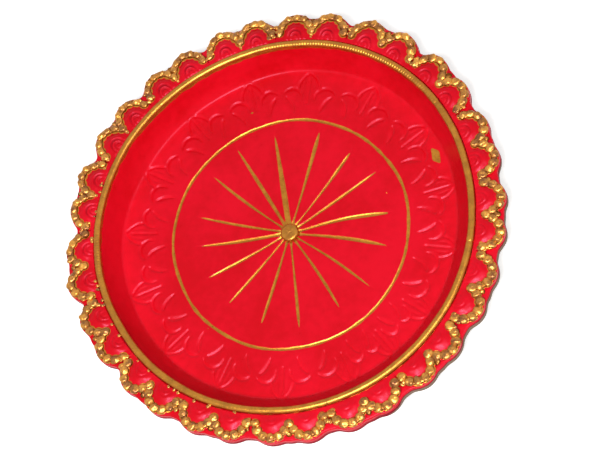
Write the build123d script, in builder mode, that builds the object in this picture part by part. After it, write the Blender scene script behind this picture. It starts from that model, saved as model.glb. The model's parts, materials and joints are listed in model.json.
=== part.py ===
from build123d import *
import os
from math import asin, atan2, cos, degrees, floor, hypot, radians, sin, sqrt, tan

# Puja thali: a shallow round tray of pressed clay with a petalled, beaded rim.
# Millimetres, origin at the centre of the flat underside, +Z up, the first petal pair on +X.

# Dish
floor_radius = 97.5
floor_thickness = 6.0
wall_rise = 15.5
wall_run = 8.7
wall_thickness = 6.0
floor_corner_bevel = 1.6
foot_bevel = 1.5

# Flange round the dish
flange_thickness = 7.0
flange_lobe_margin = 1.9
flange_notch_between_pairs = 5.3
flange_dip_between_petals = 1.2

# Sun pressed into the floor
ray_count = 16
ray_first_angle = 9.0
ray_length = 52.0
ray_shoulder_length = 40.0
ray_root_width = 0.9
ray_shoulder_width = 2.0
sun_circle_radius = 68.3
sun_circle_width = 1.5
groove_depth = 0.5

# Boss in the middle of the sun
boss_radius = 5.6
boss_sides = 16
boss_edge_rise = 0.6
boss_shoulder_rise = 1.0
boss_shoulder_taper = 50.0
boss_crown_rise = 0.6
boss_crown_taper = 75.0
boss_to_ray_gap = 0.8

# Coil on the top edge of the wall
coil_radius = 1.9
coil_sides = 8

# Petal pairs on the flange
pair_count = 17
pair_gap = 0.4
coil_gap = 0.5
petal_leg_length = 5.1
petal_overlap = 2.8
lobe_to_next_pair = 1.0
lobe_sides = 12
slab_thickness = 1.6
slab_dip_between_petals = 3.8
petal_sides = 8
petal_levels = 2
petal_level_rise = 1.0
petal_level_taper = 40.0
petal_ledge = 1.6
petal_base_setback = 1.6

# Beads along the petals' edges
bead_radius = 2.2
bead_height = 1.9
bead_sides = 5
bead_taper = 22.0
bead_gap = 0.1
bead_setback = 0.15
bead_foot_flare = 0.2
bead_foot_setback = 3.0
bead_to_petal_gap = 0.2

# Heights and radii that follow
rim_top = floor_thickness + wall_rise
flange_underside = rim_top - flange_thickness
slab_top = rim_top + slab_thickness
wall_top_radius = floor_radius + wall_run
coil_centre_radius = wall_top_radius + coil_radius
slab_inner_radius = coil_centre_radius + coil_radius + coil_gap


def polar(radius, angle):
    return radius * cos(radians(angle)), radius * sin(radians(angle))


def outer_wall_radius(height):
    wall_width_across = wall_thickness * hypot(wall_run, wall_rise) / wall_rise
    return floor_radius + wall_width_across + (height - floor_thickness) * wall_run / wall_rise


# Petals in the frame of one pair, whose middle lies on +X: two lobes share the width of the pair
pair_pitch = 360 / pair_count
pair_angles = [number * pair_pitch for number in range(pair_count)]
petal_centre_x = slab_inner_radius + petal_leg_length
half_width = petal_centre_x * tan(radians(pair_pitch / 2)) - lobe_to_next_pair
lobe_radius = (half_width + petal_overlap / 2) / 2
half_spacing = half_width - lobe_radius
petal_angle = degrees(atan2(half_spacing, petal_centre_x))
rim_reach = hypot(petal_centre_x, half_spacing) + lobe_radius
flange_lobe_radius = lobe_radius + flange_lobe_margin
petal_centres = [(petal_centre_x, -half_spacing), (petal_centre_x, half_spacing)]

# Plate body: a turned dish and its scalloped flange, with the sun pressed into the floor
with BuildPart() as plate_body:
    with BuildSketch(Plane.XZ):
        with BuildLine():
            Polyline(
                (0, 0),
                (outer_wall_radius(0), 0),
                (outer_wall_radius(flange_underside), flange_underside),
                (outer_wall_radius(flange_underside), rim_top),
                (wall_top_radius, rim_top),
                (floor_radius, floor_thickness),
                (0, floor_thickness),
                close=True,
            )
        make_face()
    revolve(axis=Axis.Z)
    circles_by_height = plate_body.edges().filter_by(GeomType.CIRCLE).group_by(Axis.Z)
    chamfer(circles_by_height[1], floor_corner_bevel)
    chamfer(plate_body.edges().filter_by(GeomType.CIRCLE).group_by(Axis.Z)[0], foot_bevel)
    with BuildSketch(Plane.XY.offset(flange_underside)):
        Circle(rim_reach - flange_notch_between_pairs)
        for pair_angle in pair_angles:
            with Locations(
                polar(rim_reach - flange_lobe_radius, pair_angle - petal_angle),
                polar(rim_reach - flange_lobe_radius, pair_angle + petal_angle),
                polar(rim_reach - flange_dip_between_petals - flange_lobe_radius, pair_angle),
            ):
                Circle(flange_lobe_radius)
        Circle(wall_top_radius, mode=Mode.SUBTRACT)
    extrude(amount=flange_thickness)
    ray_root = boss_radius + boss_to_ray_gap
    with BuildSketch(Plane.XY.offset(floor_thickness)):
        Circle(sun_circle_radius + sun_circle_width / 2)
        Circle(sun_circle_radius - sun_circle_width / 2, mode=Mode.SUBTRACT)
        with PolarLocations(0, ray_count, start_angle=ray_first_angle):
            Polygon(
                (ray_root, -ray_root_width / 2),
                (ray_root + ray_shoulder_length, -ray_shoulder_width / 2),
                (ray_root + ray_length, 0),
                (ray_root + ray_shoulder_length, ray_shoulder_width / 2),
                (ray_root, ray_root_width / 2),
                align=None,
            )
    extrude(amount=-groove_depth, mode=Mode.SUBTRACT)
plate_body.part.label = "plate_body"

# Sun boss: a low domed button seated on the floor
with BuildPart() as sun_boss:
    with BuildSketch(Plane.XY.offset(floor_thickness)):
        RegularPolygon(boss_radius, boss_sides)
    extrude(amount=boss_edge_rise)
    for rise, taper in ((boss_shoulder_rise, boss_shoulder_taper), (boss_crown_rise, boss_crown_taper)):
        extrude(sun_boss.faces().sort_by(Axis.Z)[-1], amount=rise, taper=taper)
sun_boss.part.label = "sun_boss"

# Rim coil: a rolled rope of clay, flat where it sits on the wall's top edge
half_side_angle = 180 / coil_sides
with BuildPart() as rim_coil:
    with BuildSketch(Plane.XZ):
        with Locations((coil_centre_radius, rim_top + coil_radius * cos(radians(half_side_angle)))):
            RegularPolygon(coil_radius, coil_sides, rotation=half_side_angle)
    revolve(axis=Axis.Z)
rim_coil.part.label = "rim_coil"

# One petal pair: a two-lobed slab with stepped, arched petals standing on it
slab_half_angle = pair_pitch / 2 - degrees(asin(pair_gap / 2 / slab_inner_radius))
slab_inner_edge = [polar(slab_inner_radius, slab_half_angle * share) for share in (-1, -0.5, 0, 0.5, 1)]
arch_radius = lobe_radius - bead_radius - bead_setback
petal_radius = arch_radius - bead_radius - bead_to_petal_gap
petal_level_inset = petal_level_rise * tan(radians(petal_level_taper)) + petal_ledge
with BuildPart() as pair_shape:
    with BuildSketch(Plane.XY.offset(rim_top)):
        Polygon(
            *slab_inner_edge,
            (petal_centre_x, half_width),
            (petal_centre_x, -half_width),
            align=None,
        )
        with Locations(*petal_centres, (rim_reach - slab_dip_between_petals - lobe_radius, 0)):
            RegularPolygon(lobe_radius, lobe_sides)
        Polygon(
            *slab_inner_edge,
            polar(rim_reach + lobe_radius, slab_half_angle),
            polar(rim_reach + lobe_radius, -slab_half_angle),
            align=None,
            mode=Mode.INTERSECT,
        )
    extrude(amount=slab_thickness)
    for level in range(petal_levels):
        level_inset = level * petal_level_inset
        level_radius = petal_radius - level_inset
        level_base_x = slab_inner_radius + petal_base_setback + level_inset
        with BuildSketch(Plane.XY.offset(slab_top + level * petal_level_rise)):
            with Locations(*petal_centres):
                RegularPolygon(level_radius, petal_sides)
                Rectangle(
                    petal_centre_x - level_base_x,
                    2 * level_radius,
                    align=(Align.MAX, Align.CENTER),
                )
            with Locations((level_base_x, 0)):
                Rectangle(
                    petal_radius,
                    2 * (half_spacing + petal_radius),
                    align=(Align.MAX, Align.CENTER),
                    mode=Mode.SUBTRACT,
                )
        extrude(amount=petal_level_rise, taper=petal_level_taper)

# Bead places: down the point that the two petals share, whose first bead makes an even triangle with
# the last beads of the two arches, and in even steps up each outer foot and over its arch
bead_pitch = 2 * bead_radius + bead_gap
innermost_bead_radius = slab_inner_radius + bead_foot_setback + bead_radius
arch_end_angle = degrees(asin((half_spacing - bead_pitch / 2) / arch_radius))
arch_end_x = petal_centre_x + arch_radius * cos(radians(arch_end_angle))
shared_start_x = arch_end_x - bead_pitch * sqrt(3) / 2
shared_beads = 1 + floor((shared_start_x - innermost_bead_radius) / bead_pitch)
bead_places = [(shared_start_x - step * bead_pitch, 0) for step in range(shared_beads)]
arch_side_y = half_spacing + arch_radius
foot_start_x = sqrt(innermost_bead_radius**2 - (arch_side_y + bead_foot_flare) ** 2)
foot_length = petal_centre_x - foot_start_x
side_length = foot_length + radians(90 + arch_end_angle) * arch_radius
side_steps = floor(side_length / (2 * arch_radius * asin(bead_pitch / 2 / arch_radius)))
for step in range(side_steps + 1):
    travelled = step * side_length / side_steps
    if travelled < foot_length:
        bead_x = foot_start_x + travelled
        bead_y = arch_side_y + bead_foot_flare * (1 - travelled / foot_length)
    else:
        arch_x, arch_y = polar(arch_radius, 90 - degrees((travelled - foot_length) / arch_radius))
        bead_x = petal_centre_x + arch_x
        bead_y = half_spacing + arch_y
    bead_places += [(bead_x, -bead_y), (bead_x, bead_y)]

# One bead string: pellets seated on the slab of a petal pair
with BuildPart() as string_shape:
    with BuildSketch(Plane.XY.offset(slab_top)):
        with Locations(*bead_places):
            RegularPolygon(bead_radius, bead_sides)
    extrude(amount=bead_height, taper=bead_taper)

os.makedirs("parts", exist_ok=True)
for piece in (plate_body, sun_boss, rim_coil):
    export_step(piece.part, f"parts/{piece.part.label}.step")

# The petal pairs and their bead strings, side by side round the flange
for number, pair_angle in enumerate(pair_angles, start=1):
    with BuildPart() as petal_pair:
        add(pair_shape.part, rotation=(0, 0, pair_angle))
    petal_pair.part.label = f"petal_pair_{number:02d}"
    export_step(petal_pair.part, f"parts/{petal_pair.part.label}.step")
    with BuildPart() as bead_string:
        add(string_shape.part, rotation=(0, 0, pair_angle))
    bead_string.part.label = f"bead_string_{number:02d}"
    export_step(bead_string.part, f"parts/{bead_string.part.label}.step")
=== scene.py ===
import json
import math
import bmesh
import bpy
import numpy as np
from mathutils import Matrix, Vector

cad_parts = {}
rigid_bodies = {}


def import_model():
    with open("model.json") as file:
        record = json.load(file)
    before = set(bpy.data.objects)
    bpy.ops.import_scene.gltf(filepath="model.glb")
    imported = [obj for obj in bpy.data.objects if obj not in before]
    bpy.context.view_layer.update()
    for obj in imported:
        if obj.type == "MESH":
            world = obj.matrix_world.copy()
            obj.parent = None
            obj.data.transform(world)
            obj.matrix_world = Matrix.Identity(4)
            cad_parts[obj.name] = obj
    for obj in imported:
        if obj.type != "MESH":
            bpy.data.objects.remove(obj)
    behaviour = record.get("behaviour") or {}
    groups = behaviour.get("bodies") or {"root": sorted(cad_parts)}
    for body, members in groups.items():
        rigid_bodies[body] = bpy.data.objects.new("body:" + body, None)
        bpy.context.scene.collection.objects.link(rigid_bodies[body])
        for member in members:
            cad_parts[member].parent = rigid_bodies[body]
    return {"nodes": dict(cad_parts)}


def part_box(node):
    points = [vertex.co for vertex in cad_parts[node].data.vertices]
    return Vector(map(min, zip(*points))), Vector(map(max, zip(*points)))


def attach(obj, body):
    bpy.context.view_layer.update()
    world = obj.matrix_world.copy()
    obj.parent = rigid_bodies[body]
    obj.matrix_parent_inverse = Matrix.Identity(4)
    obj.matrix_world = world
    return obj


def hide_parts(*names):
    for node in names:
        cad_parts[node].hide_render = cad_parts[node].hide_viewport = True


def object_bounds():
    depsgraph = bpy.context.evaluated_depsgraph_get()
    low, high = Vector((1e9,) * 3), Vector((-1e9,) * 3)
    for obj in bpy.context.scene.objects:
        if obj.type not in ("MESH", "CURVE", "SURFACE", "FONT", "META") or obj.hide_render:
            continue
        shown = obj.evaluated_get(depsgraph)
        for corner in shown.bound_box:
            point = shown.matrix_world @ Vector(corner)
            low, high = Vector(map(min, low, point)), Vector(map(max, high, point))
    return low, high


# Puja thali of red painted clay: a dish with a gilded sun, a tooled coil and a rim of beaded petals
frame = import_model()
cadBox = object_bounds()
mm = 0.001
tau = 2 * math.pi
pairNodes = sorted(name for name in frame["nodes"] if name.startswith("petal_pair"))
stringNodes = sorted(name for name in frame["nodes"] if name.startswith("bead_string"))
pairPitch = tau / len(pairNodes)


def meshPoints(mesh):
    flat = np.empty(3 * len(mesh.vertices))
    mesh.vertices.foreach_get("co", flat)
    return flat.reshape(-1, 3)


def radiiOf(nodeName):
    corners = meshPoints(frame["nodes"][nodeName].data) / mm
    return np.hypot(corners[:, 0], corners[:, 1])


# Levels and radii of the solids, in millimetres
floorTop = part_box("sun_boss")[0].z / mm
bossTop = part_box("sun_boss")[1].z / mm
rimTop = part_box("rim_coil")[0].z / mm
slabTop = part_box(stringNodes[0])[0].z / mm
bossRadius = radiiOf("sun_boss").max()
coilInner = radiiOf("rim_coil").min()
coilOuter = radiiOf("rim_coil").max()
coilMiddle = (coilInner + coilOuter) / 2
slabInner = radiiOf(pairNodes[0]).min()
rimReach = radiiOf("plate_body").max()
print("frame read: rim reach", round(rimReach, 2), "mm, pairs", len(pairNodes))


class Wire:
    # A socket that takes part in sums; every other node comes from add
    def __init__(self, tree, socket=None):
        self.tree = tree
        self.socket = socket

    def add(self, kind, settings=None, inputs=None, out=0):
        node = self.tree.nodes.new(kind)
        for key, value in (settings or {}).items():
            setattr(node, key, value)
        for key, value in (inputs or {}).items():
            self.join(value, node.inputs[key])
        return Wire(self.tree, node.outputs[out]) if len(node.outputs) else node

    def join(self, value, socket):
        if isinstance(value, list):
            for single in value:
                self.join(single, socket)
        elif isinstance(value, Wire):
            self.tree.links.new(value.socket, socket)
        else:
            socket.default_value = value

    def sum(self, operation, first, second):
        return self.add("ShaderNodeMath", {"operation": operation}, {0: first, 1: second})

    def __add__(self, other):
        return self.sum("ADD", self, other)

    def __radd__(self, other):
        return self.sum("ADD", other, self)

    def __sub__(self, other):
        return self.sum("SUBTRACT", self, other)

    def __rsub__(self, other):
        return self.sum("SUBTRACT", other, self)

    def __mul__(self, other):
        return self.sum("MULTIPLY", self, other)

    def __rmul__(self, other):
        return self.sum("MULTIPLY", other, self)

    def __pow__(self, other):
        return self.sum("POWER", self, other)

    def step(self, low, high):
        values = {"Value": self, "From Min": low, "From Max": high}
        return self.add("ShaderNodeMapRange", {"interpolation_type": "SMOOTHSTEP"}, values)

    def blend(self, first, second):
        return self.blendBy(self, first, second)

    def blendBy(self, share, first, second):
        return self.add("ShaderNodeMix", {"data_type": "RGBA"}, {0: share, 6: first, 7: second}, 2)

    def noise(self, coords, scale, detail=2.0, rough=0.5):
        values = {"Vector": coords, "Scale": scale, "Detail": detail, "Roughness": rough}
        return self.add("ShaderNodeTexNoise", None, values)

    def scaled(self, size):
        return self.add("ShaderNodeVectorMath", {"operation": "SCALE"}, {0: self, "Scale": size})


def newMaterial(name):
    material = bpy.data.materials.new(name)
    material.use_nodes = True
    material.node_tree.nodes.clear()
    return material, Wire(material.node_tree)


def finishShader(wire, sockets):
    shader = wire.add("ShaderNodeBsdfPrincipled", None, sockets)
    wire.add("ShaderNodeOutputMaterial", None, {"Surface": shader})


# A value stored at the points of a piece
def paintMark(wire, name):
    return wire.add("ShaderNodeAttribute", {"attribute_name": name}, None, "Fac")


finish = {
    "deepRed": (0.615, 0.0012, 0.0052, 1),
    "brightRed": (0.755, 0.0032, 0.0150, 1),
    # Dark red painted as shade in the petals' lines and down the flange's side
    "shadeRed": (0.26, 0.0030, 0.0100, 1),
    "darkGold": (0.19, 0.048, 0.002, 1),
    "paleGold": (0.72, 0.315, 0.034, 1),
    "evenGold": (0.42, 0.160, 0.004, 1),
    # Brown gold painted as shade in the hollows between beads
    "shadeGold": (0.12, 0.030, 0.002, 1),
    "clay": (0.21, 0.145, 0.095, 1),
    "paleClay": (0.33, 0.25, 0.18, 1),
    "redGleam": (1.0, 0.42, 0.70, 1),
    "goldGleam": (1.0, 0.80, 0.50, 1),
    "evenShare": 0.7,  # how plain the gold of the grooves, boss and coil is
    "redRoughness": 0.32,
    "redSpecular": 0.36,
    "goldRoughness": 0.31,
    "goldMottle": 0.22,  # spread of the gold's roughness
    "goldMetal": 0.90,
    "paintIor": 1.47,
    "varnish": 0.80,
    "varnishRoughness": 0.32,
    "grooveVarnish": 0.40,
    "evenVarnishLoss": 0.4,
    "cloudScale": 24.0,  # scales of the noises in the red, then in the gold
    "lumpScale": 80.0,
    "brushScale": 210.0,
    "redGrainScale": 1500.0,
    "patchScale": 170.0,
    "flakeScale": 900.0,
    "goldGrainScale": 1300.0,
    "reliefHeight": 0.0003,  # metres, for both paints
    "redRelief": 0.42,
    "goldRelief": 0.35,
}


def goldTones(wire, coords):
    patches = wire.noise(coords, finish["patchScale"], 4.0, 0.62)
    flakes = wire.noise(coords, finish["flakeScale"], 3.0, 0.6)
    tone = (patches * 0.75 + flakes * 0.25).step(0.34, 0.66)
    return tone, flakes


def goldColour(tone, plainness):
    mottled = tone.blend(finish["darkGold"], finish["paleGold"])
    return tone.blendBy(plainness, mottled, finish["evenGold"])


def goldRough(flakes):
    return finish["goldRoughness"] + (flakes - 0.5) * finish["goldMottle"]


def reliefBump(wire, strength, height):
    values = {"Strength": strength, "Distance": finish["reliefHeight"], "Height": height}
    return wire.add("ShaderNodeBump", None, values)


# Red paint over clay: gold where the gilt mark is above zero, and a painted shade, darker and duller, where
# the shade-and-bare mark is above zero, turning to unpainted clay where that mark is near one
def paintedClay():
    material, wire = newMaterial("redPaintedClay")
    coords = wire.add("ShaderNodeTexCoord", None, None, "Object")
    clouds = wire.noise(coords, finish["cloudScale"], 3.0)
    brush = wire.noise(coords, finish["brushScale"], 3.0, 0.55)
    grain = wire.noise(coords, finish["redGrainScale"], 3.0, 0.6)
    lumps = wire.noise(coords, finish["lumpScale"])
    tone, flakes = goldTones(wire, coords)
    shadeAndBare = paintMark(wire, "shadeAndBare")
    # Painted shade: the red darkens where the mark is above zero, in the petals' lines and down the flange's
    # side
    paintedShade = shadeAndBare.step(0.0, 0.22)
    red = (clouds * 0.65 + brush * 0.35).step(0.34, 0.66).blend(finish["deepRed"], finish["brightRed"])
    red = paintedShade.blend(red, finish["shadeRed"])
    gold = goldColour(tone, finish["evenShare"])
    goldEdge = paintMark(wire, "gilt") + (brush - 0.5) * 0.55 + (grain - 0.5) * 0.3
    goldMask = goldEdge.step(-0.06, 0.12)
    clayMask = (shadeAndBare + (brush - 0.5) * 0.9 + (clouds - 0.5) * 0.5).step(0.46, 0.56)
    clay = grain.step(0.3, 0.7).blend(finish["clay"], finish["paleClay"])
    colour = clayMask.blend(goldMask.blend(red, gold), clay)
    redRough = finish["redRoughness"] + (brush - 0.5) * 0.16 + (grain - 0.5) * 0.10
    rough = redRough * (1 - goldMask) + goldRough(flakes) * goldMask + paintedShade * 0.65
    height = grain * 0.35 + brush * 0.65 + lumps * 1.8 + goldMask * 0.5
    finishShader(wire, {
        "Base Color": colour, "Metallic": goldMask * finish["goldMetal"], "Roughness": rough,
        "Normal": reliefBump(wire, finish["redRelief"], height), "IOR": finish["paintIor"],
        "Specular IOR Level": finish["redSpecular"], "Specular Tint": finish["redGleam"],
        "Coat Weight": goldMask * finish["grooveVarnish"], "Coat Roughness": finish["varnishRoughness"]})
    return material


# Gold paint under varnish: a painted shade turns it brown and less varnished low in the hollows between
# beads, and it is plainer where the even mark is one
def gildedClay():
    material, wire = newMaterial("gildedClay")
    coords = wire.add("ShaderNodeTexCoord", None, None, "Object")
    tone, flakes = goldTones(wire, coords)
    even = paintMark(wire, "even") * finish["evenShare"]
    # Painted shade blends the gold towards brown in the hollows, with the flakes breaking its edge
    goldShade = (paintMark(wire, "hollowShade") + (flakes - 0.5) * 0.6).step(0.15, 0.85)
    colour = goldShade.blend(goldColour(tone, even), finish["shadeGold"])
    grain = wire.noise(coords, finish["goldGrainScale"])
    height = grain * 0.5 + tone * 0.5
    varnish = finish["varnish"] * (1 - goldShade) * (1 - even * finish["evenVarnishLoss"])
    finishShader(wire, {
        "Base Color": colour, "Metallic": finish["goldMetal"], "Roughness": goldRough(flakes) + goldShade * 0.2,
        "Normal": reliefBump(wire, finish["goldRelief"], height), "IOR": finish["paintIor"],
        "Specular Tint": finish["goldGleam"],
        "Coat Weight": varnish, "Coat Roughness": finish["varnishRoughness"]})
    return material


redPaint = paintedClay()
goldPaint = gildedClay()
print("materials ready")


# Zero at the low value, one at the high one, with soft ends
def smooth(low, high, value):
    share = np.clip((value - low) / (high - low), 0, 1)
    return share * share * (3 - 2 * share)


# One between two fades, zero outside them
def between(fadeIn, fadeOut, value):
    return smooth(*fadeIn, value) * (1 - smooth(*fadeOut, value))


# A soft line: one along its middle, fading to either side
def softLine(distance, halfWidth):
    return np.exp(-((distance / halfWidth) ** 2))


def turnBetween(angle, middle):
    return (angle - middle + math.pi) % tau - math.pi


# One at a side of the dish given in degrees, minus one at the opposite side
def towards(side, angle):
    return np.cos(angle - math.radians(side))


# Slow unevenness of hand work round a ring
def handWobble(angle, seed, size, orders):
    rng = np.random.default_rng(seed)
    total = np.zeros_like(angle)
    for order in orders:
        total += rng.normal() * np.cos(order * angle + rng.uniform(0, tau))
    return size * total / math.sqrt(len(orders))


# Points round the dish's middle
def ringPoints(radius, angle, height):
    heights = np.broadcast_to(height, angle.shape)
    return np.stack([radius * np.cos(angle), radius * np.sin(angle), heights], axis=1)


def setMarks(mesh, marks):
    for mark, values in marks.items():
        layer = mesh.attributes.new(mark, "FLOAT", "POINT")
        layer.data.foreach_set("value", np.asarray(values, dtype=np.float32))


# Closed skin through loops of points, with a point at each end
def skinLoops(name, loops, firstPoint, lastPoint, marks):
    count = len(loops[0])
    points = np.vstack([firstPoint] + loops + [lastPoint])
    steps = [(k, (k + 1) % count) for k in range(count)]
    faces = [(0, 1 + here, 1 + ahead) for here, ahead in steps]
    for row in range(len(loops) - 1):
        upper = 1 + row * count
        lower = upper + count
        faces += [(upper + here, lower + here, lower + ahead, upper + ahead) for here, ahead in steps]
    lastRow = 1 + (len(loops) - 1) * count
    faces += [(lastRow + ahead, lastRow + here, len(points) - 1) for here, ahead in steps]
    mesh = bpy.data.meshes.new(name)
    mesh.from_pydata((points * mm).tolist(), [], faces)
    setMarks(mesh, {mark: np.concatenate(values) for mark, values in marks.items()})
    mesh.polygons.foreach_set("use_smooth", np.ones(len(faces), dtype=bool))
    mesh.update()
    return mesh


# The rim as the hands left it: how far the coil and the outer edge stand out of round every 15 degrees
outOfRound = {
    "coil": (-0.7, -1.0, -0.15, 0.8, 1.1, 1.0, 0.2, -0.8, -1.2, -1.0, -0.3, 0.0,
             0.2, -0.1, -0.9, -0.8, -0.3, 0.2, 0.5, 0.8, 0.9, 0.5, 0.2, 0.0),
    "edge": (-0.3, -0.5, 0.2, 1.8, 2.5, 1.6, 0.0, -0.5, -1.6, -1.1, 0.0, 0.3,
             0.0, 1.4, 0.1, -0.1, 0.8, 0.1, 0.1, 0.6, 1.2, 1.7, 1.7, 0.6),
    "fadeWidth": 7.0,  # inside the coil
    "boxMargin": 0.2,
}


def bendRim(mesh):
    points = meshPoints(mesh)
    radius = np.maximum(np.hypot(points[:, 0], points[:, 1]) / mm, 1.0)
    angle = np.arctan2(points[:, 1], points[:, 0])
    marks = np.arange(len(outOfRound["coil"])) * tau / len(outOfRound["coil"])
    room = np.full_like(angle, np.inf)
    for side, direction in enumerate((np.cos(angle), np.sin(angle))):
        wallHere = np.where(direction > 0, cadBox[1][side], -cadBox[0][side]) / mm
        room = np.minimum(room, wallHere / np.maximum(np.abs(direction), 0.05))
    coilShift = np.interp(angle, marks, outOfRound["coil"], period=tau)
    edgeShift = np.interp(angle, marks, outOfRound["edge"], period=tau)
    edgeShift = np.minimum(edgeShift, room - rimReach - outOfRound["boxMargin"])
    share = np.clip((radius - coilMiddle) / (rimReach - coilMiddle), 0, 1)
    fade = smooth(coilInner - outOfRound["fadeWidth"], coilInner, radius)
    shift = (coilShift * (1 - share) + edgeShift * share) * fade
    points[:, :2] *= (1 + shift / radius)[:, None]
    mesh.vertices.foreach_set("co", points.ravel())
    mesh.update()


# Puts a piece, a lamp or the camera into the scene
def addPiece(name, data):
    added = bpy.data.objects.new(name, data)
    bpy.context.scene.collection.objects.link(added)
    return added


# Where a line from the middle leaves a ring of round lobes
def lobeReach(angle, lobes, radius):
    reach = np.zeros_like(angle)
    for lobeAngle, lobeTip in lobes:
        middle = lobeTip - radius
        turn = turnBetween(angle, lobeAngle)
        inside = radius**2 - (middle * np.sin(turn)) ** 2
        hit = middle * np.cos(turn) + np.sqrt(np.maximum(inside, 0))
        reach = np.maximum(reach, np.where((inside > 0) & (np.cos(turn) > 0), hit, 0))
    return reach


# Places of the two petals of a pair, which the flange, the pairs and the strings follow
petalPlaces = {
    "legLength": 5.1,  # from the inner edge to the arch's middle
    "spacing": 19.2,
}
petalMiddle = slabInner + petalPlaces["legLength"]
halfSpacing = petalPlaces["spacing"] / 2
petalAngle = math.atan2(halfSpacing, petalMiddle)

# Plate body, in millimetres and degrees
plate = {
    "segments": 864,
    "rayLoops": 26,
    "circleLoops": 10,
    "bandLoops": 40,
    "creaseRadii": (95.8, 97.5, 99.6, 99.2, 97.0, 97.2,
                    98.8, 97.4, 97.3, 97.0, 96.3, 96.3),  # where floor and wall meet, every 30 degrees
    "cove": 1.6,
    "wallThickness": 6.0,
    "wallBelly": 0.35,
    "flangeThickness": 7.0,
    "flangeLobe": 12.9,
    "notch": 5.3,
    "nearFill": 1.9,  # shallower notches on the near side
    "nearSide": 315.0,
    "dip": 1.2,
    "farDip": 1.2,  # more on the far side
    "farSide": 115.0,
    "edgeMargin": 0.05,
    "arris": 0.9,  # width of the rounded upper edge
    "underInset": 2.4,
    "footBevel": 1.5,
    "unevenness": 0.16,
    "sag": 0.12,
    "floorShare": 0.25,  # share of the unevenness and sag in the floor and the outer wall
    "loopGap": 0.5,
    "rayDepth": 0.50,
    "rayFlat": 0.40,  # share of the half width that is flat
    "rayBank": 0.18,
    "raySlim": 0.46,  # share of a ray's width away from its widest place
    "rayBelly": 0.42,  # spread of the widest place
    "rayTip": 0.22,  # share of the length that comes to a point
    "rayTipPower": 2.6,
    "rayRoot": 0.5,  # flare of a ray where it meets the boss
    "rayRootFade": 1.4,
    "rayUnderBoss": 1.5,
    "circleRadius": 68.4,
    "circleZone": 1.7,  # half width of the stretch of close loops
    "circleWidth": 1.7,
    "circleDepth": 0.42,
    "circleFlat": 0.35,
    "circleBank": 0.20,
    "leafDepth": 0.85,
    "leafPitch": 24.0,
    "leafMiddle": 81.0,  # radius of the leaf band's middle
    "leafBase": 9.4,  # outside the circle
    "leafLength": 20.0,
    "leafWidth": 11.6,
    "leafLine": 0.62,
    "leafRib": 0.50,
    "leafVein": 0.42,
    "unpaintedSide": -22.0,
    "paintRunSide": 118.0,
    "paintRun": 0.25,
}
# Rays of the sun: angle, length from the middle, width, sideways bow halfway along and where it is widest
rays = [
    (9.6, 58.8, 2.4, 1.8, 0.65), (35.8, 60.5, 1.7, -0.3, 0.5), (55.4, 58.2, 1.9, -0.6, 0.85),
    (77.1, 62.6, 2.3, -0.3, 0.85), (101.9, 61.4, 3.3, -0.2, 0.25), (123.4, 63.0, 2.2, -0.2, 0.4),
    (142.7, 60.0, 1.6, 0.9, 0.6), (167.8, 55.4, 1.6, 0.6, 0.5), (186.4, 53.8, 2.1, 0.7, 0.35),
    (208.5, 53.4, 1.7, 0.6, 0.6), (230.8, 53.6, 1.5, 0.5, 0.6), (255.7, 56.0, 1.8, 0.4, 0.55),
    (278.7, 57.2, 1.8, 0.1, 0.75), (304.4, 56.2, 1.7, 0.8, 0.55), (325.0, 59.2, 1.5, 1.1, 0.6),
    (350.3, 57.6, 2.2, 1.1, 0.6),
]
# Middles of the upright leaves of the band; a pair of arched leaves stands between each two
uprightLeaves = [86.0, 62.0, 38.0, 15.0, -7.7, -32.0, -48.5, -65.0,
                 -89.5, -112.0, -135.0, -158.5, 178.0, 155.0, 131.0, 108.0]
# Strokes of an arched leaf along ovals: middle, half width, half height, start and end turn, half line width
archStrokes = [(0.0, 2.2, 8.8, 14.0, 0.14, 1.30, 1.3), (7.0, 13.6, 6.2, 6.6, -0.45, 2.75, 1.0)]
# Gold that ran or dropped on the red: place, half length, half width, turn and lean
goldSpills = [
    (82.0, 42.6, 4.0, 2.3, 99.0, 0.55), (-26.9, 74.2, 0.9, 0.5, 20.0, 0.0), (54.4, 21.6, 0.7, 0.4, 40.0, 0.0),
    (-44.0, -55.0, 0.5, 0.3, 0.0, 0.0), (66.0, 17.0, 0.6, 0.35, 70.0, 0.0),
]
giltLimit = 3.0  # the gilt mark is the distance inside a gold edge, kept within this
noGold = -giltLimit


# A groove with a flat bottom and soft banks
def groove(distance, half, flat, bank):
    return 1 - smooth(flat * half, half + bank, distance)


# Depth of the rays and distance inside their gold edges
def rayField(x, y):
    depth = np.zeros_like(x)
    gilt = np.full_like(x, noGold)
    slim = plate["raySlim"]
    for angle, length, width, bow, widest in rays:
        turn = math.radians(angle)
        along = x * math.cos(turn) + y * math.sin(turn)
        share = np.clip((along - bossRadius) / (length - bossRadius), 0, 1)
        across = np.abs(-x * math.sin(turn) + y * math.cos(turn) - bow * np.sin(math.pi * share))
        belly = slim + (1 - slim) * softLine(share - widest, plate["rayBelly"])
        tip = 1 - np.clip(1 - (1 - share) / plate["rayTip"], 0, 1) ** plate["rayTipPower"]
        flare = plate["rayRoot"] * np.exp(-np.maximum(along - bossRadius, 0) / plate["rayRootFade"])
        half = width / 2 * belly * tip + flare
        here = (along > bossRadius - plate["rayUnderBoss"]) & (along < length)
        press = groove(across, half, plate["rayFlat"], plate["rayBank"]) * tip**0.5
        depth = np.maximum(depth, np.where(here, press, 0))
        gilt = np.maximum(gilt, np.where(here, half - across, noGold))
    return plate["rayDepth"] * depth, gilt


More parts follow.
